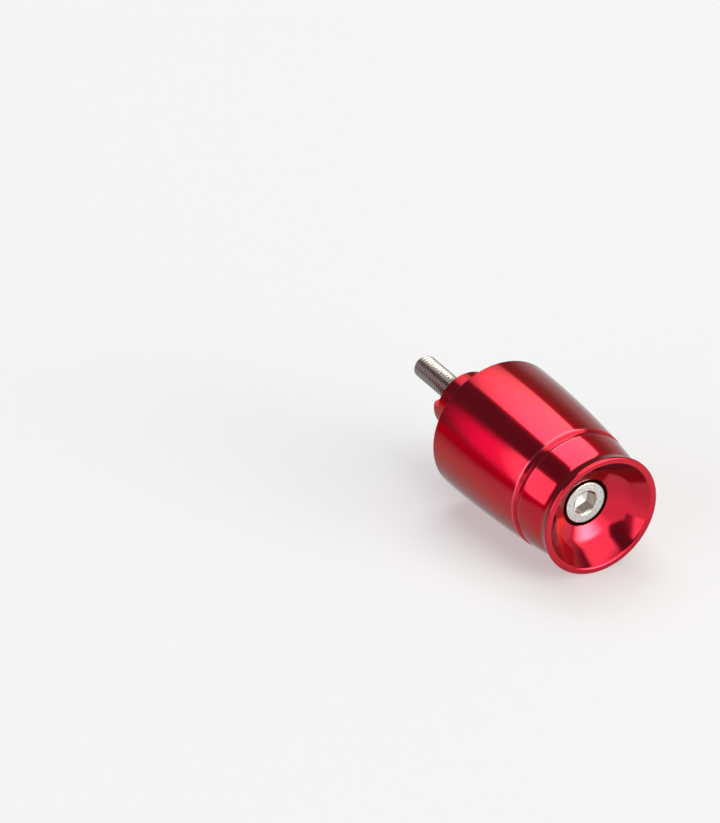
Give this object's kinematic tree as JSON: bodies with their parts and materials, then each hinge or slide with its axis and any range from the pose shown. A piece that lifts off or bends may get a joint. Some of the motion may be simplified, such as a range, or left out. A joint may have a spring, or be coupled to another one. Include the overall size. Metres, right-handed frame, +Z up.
{
  "type": "bar end weight",
  "caption": "Turned handlebar end weight with a dished face, a groove and a lugged spigot, held by a long socket cap screw through its middle.",
  "frame": {"origin": "centre of the flat shoulder face that meets the end of the handlebar grip, on the turned axis", "axes": "+X along the turned axis, outboard, the way the dish faces; +Z up; +Y completes the right-handed frame"},
  "size_m": [0.0775, 0.0344, 0.0344],
  "materials": {
    "anodised_red": "red anodised, semi-gloss, finely turned",
    "stainless_steel": "satin stainless steel"
  },
  "bodies": {
    "root": {"weight_body": "anodised_red", "cap_screw": "stainless_steel"}
  },
  "joints": []
}
